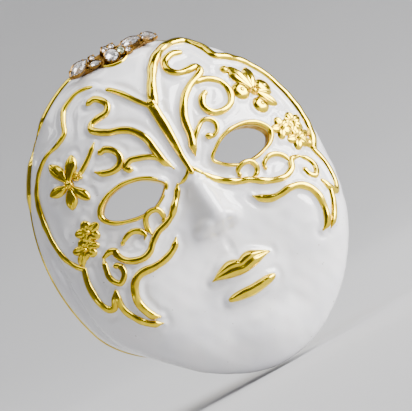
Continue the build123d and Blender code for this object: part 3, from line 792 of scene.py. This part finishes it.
def skin(name, n, outer, inner, holes, material):
    """A closed solid between two matching grids, less the faces over the holes."""
    m = n + 1
    index = np.arange(m * m).reshape(m, m)
    quads = np.stack([index[:-1, :-1], index[1:, :-1], index[1:, 1:], index[:-1, 1:]], -1).reshape(-1, 4)
    flat = outer.reshape(-1, 3)
    middle = flat[quads].mean(1)
    keep = np.ones(len(quads), bool)
    for hole in holes:
        keep &= ~inside(middle[:, 0], middle[:, 2], hole)
    quads = quads[keep]
    count = m * m
    faces = np.vstack([quads, quads[:, ::-1] + count])
    edges = np.concatenate([quads[:, [0, 1]], quads[:, [1, 2]], quads[:, [2, 3]], quads[:, [3, 0]]])
    key = np.sort(edges, 1)
    code = key[:, 0] * count + key[:, 1]
    _, first, counts = np.unique(code, return_index=True, return_counts=True)
    rim = edges[first[counts == 1]]
    walls = np.stack([rim[:, 1], rim[:, 0], rim[:, 0] + count, rim[:, 1] + count], -1)
    faces = np.vstack([faces, walls])
    under = inner.reshape(-1, 3).copy()
    flat = flat.copy()
    for hole in holes:
        fine = np.vstack([hole, hole[:1]])
        for i in np.unique(rim):
            x, z = flat[i, 0], flat[i, 2]
            d = np.hypot(hole[:, 0] - x, hole[:, 1] - z)
            k = int(d.argmin())
            if d[k] < 0.6:
                best = None
                for a, b in ((k, k + 1), (k - 1, k)):
                    p, q = fine[a], fine[b]
                    run = q - p
                    t = ((x - p[0]) * run[0] + (z - p[1]) * run[1]) / max(1e-9, (run ** 2).sum())
                    c = p + run * np.clip(t, 0, 1)
                    e = math.hypot(c[0] - x, c[1] - z)
                    if best is None or e < best[0]:
                        best = (e, c)
                shift = np.array([best[1][0] - x, 0.0, best[1][1] - z])
                flat[i] += shift
                under[i] += shift
    verts = np.vstack([flat, under])
    used = np.unique(faces)
    remap = -np.ones(len(verts), int)
    remap[used] = np.arange(len(used))
    return make(name, verts[used], remap[faces], material)


def grid_normals(p):
    """The outward direction at each point of a grid."""
    a, b = np.gradient(p, axis=0), np.gradient(p, axis=1)
    n = np.cross(a, b)
    n /= np.clip(np.linalg.norm(n, axis=-1, keepdims=True), 1e-12, None)
    towards = p - np.array([0.0, 4.0, 0.0])
    flip = (n * towards).sum(-1, keepdims=True) < 0
    return np.where(flip, -n, n)


def bare_rim(angle):
    """Where the enamel stops short of the back rim: two stretches at the upper left."""
    first = smooth(1.78, 1.90, angle) * (1 - smooth(2.18, 2.30, angle))
    second = smooth(2.38, 2.48, angle) * (1 - smooth(2.64, 2.74, angle))
    return first + second


ENAMEL_GRID, SHELL_GRID, LIP_STEPS = 330, 170, 720
px, pz = square_grid(ENAMEL_GRID)
surface, h = dome(px, pz)
angle = np.arctan2(pz, px)
edge = 0.12 + 2.1 * bare_rim(angle) + 0.07 * np.sin(9 * angle + 1) + 0.05 * np.sin(23 * angle)
surface[..., 1] -= edge * (1 - smooth(0.0, 0.38, h / D))
x, z = surface[..., 0], surface[..., 2]
normal = grid_normals(surface)
lift = poured(x, z) * smooth(0.02, 0.25, h / D) + waves(x, z) * smooth(0, FEATURES_FROM, h / D)
lift = lift - np.exp(-((h / D - 0.30) / 0.07) ** 2) * smooth(2.5, 2.95, np.abs(angle)) * 0.6  # a hollow at the side
DROPS = ((-6.0, 23.6, 1.6, 0.25), (-4.9, 5.3, 0.7, 0.5), (-5.2, 3.6, 0.6, 0.35))  # x, z, radius, height
for bx, bz, br, amount in DROPS:
    lift = lift + amount * np.exp(-((x - bx) ** 2 + (z - bz) ** 2) / br ** 2)
outer = surface + normal * lift[..., None]
inner = surface - normal * 0.5
inner[..., 1] = np.minimum(inner[..., 1], -0.12)
eye_holes = [grow(line, 0.24) for line in EYE_LINES.values()]
enamel = skin("enamel_face_white", ENAMEL_GRID, outer, inner, eye_holes, ENAMEL_MAT)
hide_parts("enamel_face")

px, pz = square_grid(SHELL_GRID)
shell_out, _ = dome(px, pz, ENAMEL * 0.75)
shell_in, h_in = dome(px, pz, ENAMEL + METAL, RELIEF_INSIDE)
rough = 0.10 * wobble(shell_in[..., 0], shell_in[..., 2], 41, 4.5) * smooth(0.05, 0.3, h_in / D)
shell_in += grid_normals(shell_in) * rough[..., None]
for grid in (shell_out, shell_in):
    grid[..., 1] = np.minimum(grid[..., 1], -0.1)  # short of the rim plane, where the lip is
eye_holes = [grow(line, 0.3) for line in EYE_LINES.values()]
shell = skin("cast_shell_gold", SHELL_GRID, shell_out, shell_in, eye_holes, SHELL_MAT)
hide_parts("cast_shell")

# the bare gold lip round the back
LIP_PROFILE = [(-1.75, 0.0), (-0.1, 0.0), (0.06, 0.06), (0.14, 0.22), (0.15, 0.45), (0.12, 0.68), (0.0, 0.82),
               (-0.35, 0.86), (-0.9, 0.8), (-1.6, 0.7)]  # outwards and forwards from the rim
turn = np.linspace(0, 2 * math.pi, LIP_STEPS, endpoint=False)
line, _ = dome(np.cos(turn), np.sin(turn))
tangent = np.roll(line, -1, 0) - np.roll(line, 1, 0)
out = np.cross(tangent, [0, 1.0, 0])
out /= np.linalg.norm(out, axis=1, keepdims=True)
out = np.where((out * line).sum(1, keepdims=True) < 0, -out, out)
forward = np.array([[0.0, -1.0, 0.0]])
show, proud = 1 + 1.9 * bare_rim(turn), 0.42 * bare_rim(turn)
verts = np.stack([line + out * (a + (proud if 0 < b < 0.86 else 0 * proud))[:, None] + forward * (b * show)[:, None]
                  for a, b in LIP_PROFILE], 1).reshape(-1, 3)
lip_ring = make("rim_lip_gold", verts, ring_faces(LIP_STEPS, len(LIP_PROFILE)), GOLD)

# ---------------------------------------------------------------- the crystal spray
TILT = math.radians(24)
SPRAY_AT, SPRAY_ZERO = np.array([-0.2, -5.6, 27.5]), 28.0  # where it stands, and the height it is drawn about
SPRAY_X = np.array([1.0, 0, 0])
S_OUT = np.array([0.0, -math.cos(TILT), math.sin(TILT)])
S_UP = np.array([0.0, math.sin(TILT), math.cos(TILT)])


def on_spray(x, z, up=0.0):
    """A point of the spray's own leaning plane, or above it."""
    return SPRAY_AT + SPRAY_X * x + S_UP * (z - SPRAY_ZERO) + S_OUT * up


def lens(length, width, lean, count=28):
    """A pointed oval outline."""
    t = np.linspace(0, 2 * math.pi, count, endpoint=False)
    x = length / 2 * np.cos(t)
    y = width / 2 * np.sign(np.sin(t)) * (1 - np.abs(np.cos(t)) ** 1.8)
    a = math.radians(lean)
    return np.stack([x * math.cos(a) - y * math.sin(a), x * math.sin(a) + y * math.cos(a)], -1)


def disc(radius, count=24):
    """A round outline."""
    t = np.linspace(0, 2 * math.pi, count, endpoint=False)
    return np.stack([radius * np.cos(t), radius * np.sin(t)], -1)


def gem(name, cx, cz, outline, size, raise_by, material, node):
    """A cut stone: table, two rows of crown facets, girdle and foiled back, on the given outline."""
    rings = [(0.56, 0.42, 0, 4), (0.82, 0.27, 1, 2), (1.0, 0.06, 0, 2), (1.0, 0.0, 0, 2), (0.55, -0.38, 0, 2)]
    pts = []
    for scale, level, first, every in rings:
        for x, z in outline[first::every]:
            pts.append(on_spray(cx + x * scale, cz + z * scale, raise_by + level * size))
    pts.append(on_spray(cx, cz, raise_by - 0.55 * size))
    mesh = bpy.data.meshes.new(name)
    bm = bmesh.new()
    for p in to_frame(pts):
        bm.verts.new(p)
    hull = bmesh.ops.convex_hull(bm, input=bm.verts)
    loose = [g for g in hull["geom_interior"] if isinstance(g, bmesh.types.BMVert)]
    bmesh.ops.delete(bm, geom=loose, context="VERTS")
    bmesh.ops.dissolve_limit(bm, angle_limit=math.radians(1.5), verts=bm.verts, edges=bm.edges)
    bmesh.ops.recalc_face_normals(bm, faces=bm.faces)
    for face in bm.faces:
        face.material_index = 1 if face.normal.dot(Vector(S_OUT)) < -0.05 else 0
    bm.to_mesh(mesh)
    bm.free()
    mesh.materials.append(material)
    mesh.materials.append(FOIL)
    obj = placed(name, mesh)
    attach(obj, "mask")
    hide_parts(node)


def cup(cx, cz, outline, raise_by, size, wall, claws):
    """The setting round a stone: a thin wall with small claws over the girdle."""
    pts = np.array([on_spray(cx + x, cz + z, raise_by) for x, z in outline])
    d = grow(outline, 1.0) - outline
    out = d[:, :1] * SPRAY_X[None, :] + d[:, 1:] * S_UP[None, :]
    lists = [band(pts, out, S_OUT[None, :], [(-0.25, -0.75 * size), (wall, -0.75 * size), (wall + 0.03, -0.2),
                                             (wall, 0.02), (wall * 0.5, 0.10), (-0.02, 0.05), (-0.04, -0.15)])]
    for k in range(claws):
        i = int((k + 0.5) / claws * len(pts)) % len(pts)
        c, o = pts[i], out[i]
        claw = [c + o * (wall + 0.05) - S_OUT * 0.5 * size, c + o * (wall + 0.03), c + o * 0.06 + S_OUT * 0.16,
                c - o * 0.10 + S_OUT * 0.20]
        lists.append(rod(claw, [0.14, 0.15, 0.13, 0.07]))
    return lists


def rod(points, radii, sides=10):
    """A short round rod through a few points."""
    points = np.array(points)
    fine = np.linspace(0, len(points) - 1, 4 * len(points))
    base = np.arange(len(points))
    path = np.stack([np.interp(fine, base, points[:, k]) for k in range(3)], -1)
    for _ in range(2):
        path[1:-1] = (path[:-2] + 2 * path[1:-1] + path[2:]) / 4
    size = np.interp(fine, base, radii)
    along = np.gradient(path, axis=0)
    along /= np.linalg.norm(along, axis=1, keepdims=True)
    a = np.cross(along, [0.31, 0.52, 0.79])
    a /= np.linalg.norm(a, axis=1, keepdims=True)
    b = np.cross(along, a)
    verts = np.concatenate([path + size[:, None] * (a * math.cos(q) + b * math.sin(q))
                            for q in np.linspace(0, 2 * math.pi, sides, endpoint=False)])
    n, faces = len(path), []
    for j in range(sides):
        k = (j + 1) % sides
        for i in range(n - 1):
            faces.append((j * n + i, k * n + i, k * n + i + 1, j * n + i + 1))
    verts = np.vstack([verts, path[0] - along[0] * size[0] * 0.4, path[-1] + along[-1] * size[-1] * 0.6])
    for j in range(sides):
        k = (j + 1) % sides
        faces.append((sides * n, j * n, k * n))
        faces.append((sides * n + 1, k * n + n - 1, j * n + n - 1))
    return verts, faces


def plate(cx, cz, outline, low, high):
    """A thin cast plate on a closed outline, softly domed."""
    rings = [(1.0, low), (1.02, (low + high) / 2), (0.97, high - 0.02), (0.85, high), (0.5, high), (0.2, high)]
    verts = [on_spray(cx + x * k, cz + z * k, level) for k, level in rings for x, z in outline]
    verts += [on_spray(cx, cz, low), on_spray(cx, cz, high)]
    return np.array(verts), tube_faces(len(rings), len(outline))


# round stones: x, z, radius and height of the girdle; leaf stones: x, z, length, width, lean and height
ROUND = [("crystal_centre", -0.35, 27.55, 1.15, 0.55), ("crystal_green", 1.4, 27.75, 0.7, 0.4),
         ("crystal_side", 2.5, 27.3, 0.5, 0.3), ("crystal_top_L", -0.75, 29.15, 0.6, 0.2),
         ("crystal_top_R", 0.45, 29.2, 0.5, 0.25), ("crystal_bead", -3.2, 28.9, 0.45, 0.1)]
LEAVES = [("navette_L_outer", -6.0, 28.35, 4.0, 1.9, 22, 0.1), ("navette_L_inner", -3.3, 27.75, 2.3, 1.0, -6, 0.15),
          ("navette_R_inner", 3.6, 28.6, 3.9, 1.5, -4, 0.1), ("navette_R_outer", 6.5, 28.1, 3.0, 1.5, -30, 0.0)]
settings = []
for name, x, z, r, up in ROUND:
    material = GREEN if name == "crystal_green" else CLEAR
    gem(f"{name}_stone", x, z, disc(r), r, up, material, name)
    settings += cup(x, z, disc(r), up, r + 0.5, 0.16, 5 if r > 0.5 else 4)
for name, x, z, length, width, lean, up in LEAVES:
    gem(f"{name}_stone", x, z, lens(length, width, lean), width * 0.6, up, CLEAR, name)
    settings += cup(x, z, lens(length, width, lean), up, 1.0, 0.17, 4)
settings.append(plate(0.0, 28.1, lens(15.0, 2.6, 0, 60), -1.5, -0.35))
settings.append(plate(-0.1, 27.0, lens(5.6, 3.2, 0, 40), -1.5, -0.1))
for _, flip in SIDES:
    twig = [on_spray(flip * (1.0 + 5.5 * t), 27.2 + 0.9 * t, -0.45) for t in np.linspace(0, 1, 5)]
    settings.append(rod(twig, [0.3, 0.28, 0.26, 0.22, 0.14]))
gold_piece("spray_setting", *join_lists(settings), OLD_GOLD, angle=40)
crescent = [on_spray(-2.3 + 4.4 * t, 26.75 - 1.0 * math.sin(math.pi * t), -0.15 + 0.2 * math.sin(math.pi * t))
            for t in np.linspace(0, 1, 7)]
piece = make("spray_crescent_gold", *rod(crescent, [0.15, 0.35, 0.48, 0.52, 0.48, 0.35, 0.15], 14), GOLD, angle=40)

# ---------------------------------------------------------------- the fastening keeps its CAD shapes
for node, material in (("pin_bar", FINDING), ("hinge_bracket", FINDING), ("hinge_rivet", FINDING),
                       ("pin_stem", STEEL), ("catch_body", FINDING), ("catch_rotor", FINDING)):
    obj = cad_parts[node]
    obj.data.materials.clear()
    obj.data.materials.append(material)
    edge = obj.modifiers.new("edge", "BEVEL")
    edge.width, edge.segments, edge.limit_method = 0.00006, 2, "ANGLE"

# ---------------------------------------------------------------- floor, light and camera
FLAT, BEND, WALL_TOP = 0.45, 1.9, 2.4  # a round floor that turns up into a wall, m
floor_z = cad_low.z - 0.0004
profile = [(0.15, 0.0), (0.3, 0.0), (FLAT, 0.0)]
profile += [(FLAT + BEND * math.sin(a), BEND - BEND * math.cos(a)) for a in np.linspace(0.04, math.pi / 2, 28)]
profile += [(FLAT + BEND, WALL_TOP)]
sides = 96
verts = [(0.0, 0.0, floor_z)]
for r, z in profile:
    verts += [(r * math.cos(2 * math.pi * k / sides), r * math.sin(2 * math.pi * k / sides), floor_z + z)
              for k in range(sides)]
faces = [(0, 1 + k, 1 + (k + 1) % sides) for k in range(sides)]
for i in range(len(profile) - 1):
    for k in range(sides):
        a, b = 1 + i * sides + k, 1 + i * sides + (k + 1) % sides
        faces.append((a, a + sides, b + sides, b))
mesh = bpy.data.meshes.new("floor")
mesh.from_pydata(verts, [], faces)
mesh.polygons.foreach_set("use_smooth", [True] * len(mesh.polygons))
floor = placed("floor", mesh)
mat, nodes, links, bsdf = tree_of("floor_paper")
links.new(ramp(nodes, links, noise(nodes, links, 3, 2), [(0.3, (0.50, 0.50, 0.51)), (0.7, (0.53, 0.53, 0.54))]),
          bsdf.inputs["Base Color"])
put(bsdf, Roughness=0.9)
mesh.materials.append(mat)

centre = Vector(((shell_low.x + shell_high.x) / 2, BACK / 1000, MID / 1000))


def lamp(name, direction, distance, size, power, colour=(1, 1, 1), wide=None):
    """A soft light standing off the mask in the given direction."""
    data = bpy.data.lights.new(name, "AREA")
    data.shape = "RECTANGLE"
    data.size, data.size_y = wide or size, size
    data.energy, data.color = power, colour
    obj = placed(name, data)
    d = Vector(direction).normalized()
    obj.location = centre + d * distance
    obj.rotation_euler = (-d).to_track_quat("-Z", "Y").to_euler()
    return obj


lamp("key", (1.0, -0.52, 0.36), 0.75, 0.62, 28.0, (1.0, 0.99, 0.98))
lamp("top", (0.0, -0.35, 1.0), 0.8, 0.30, 2.6, (0.97, 0.98, 1.0), 0.8)
lamp("fill", (-1.0, -0.4, 0.1), 0.9, 0.14, 0.5, (0.93, 0.95, 1.0), 0.45)
sweep = lamp("backdrop", (0.0, 0.5, 1.3), 1.0, 1.0, 14.0)
sweep.rotation_euler = Vector((0.0, 0.8, -0.55)).to_track_quat("-Z", "Y").to_euler()
world = bpy.data.worlds.new("studio")
bpy.context.scene.world = world
world.use_nodes = True
put(world.node_tree.nodes["Background"], Color=(0.72, 0.74, 0.78, 1), Strength=0.10)

AZ, EL, ROLL, FAR = math.radians(-13), math.radians(-2), math.radians(28), 0.320
IMAGE_WIDTH, FOCAL_LENGTH = 412, 1974  # in pixels
SENSOR = 36
data = bpy.data.cameras.new("camera")
camera = placed("camera", data)
back = Vector((math.sin(AZ) * math.cos(EL), -math.cos(AZ) * math.cos(EL), math.sin(EL)))
right = Vector((math.cos(AZ), math.sin(AZ), 0))
above = back.cross(right)
up = right * math.sin(ROLL) + above * math.cos(ROLL)
sideways = up.cross(back)
place = centre + back * FAR
camera.matrix_world = Matrix([(sideways[k], up[k], back[k], place[k]) for k in range(3)] + [(0, 0, 0, 1)])
data.sensor_width = SENSOR
data.lens = SENSOR * FOCAL_LENGTH / IMAGE_WIDTH
data.shift_x, data.shift_y = 0.0444, 0.011
data.clip_start, data.clip_end = 0.01, 20
bpy.context.scene.camera = camera
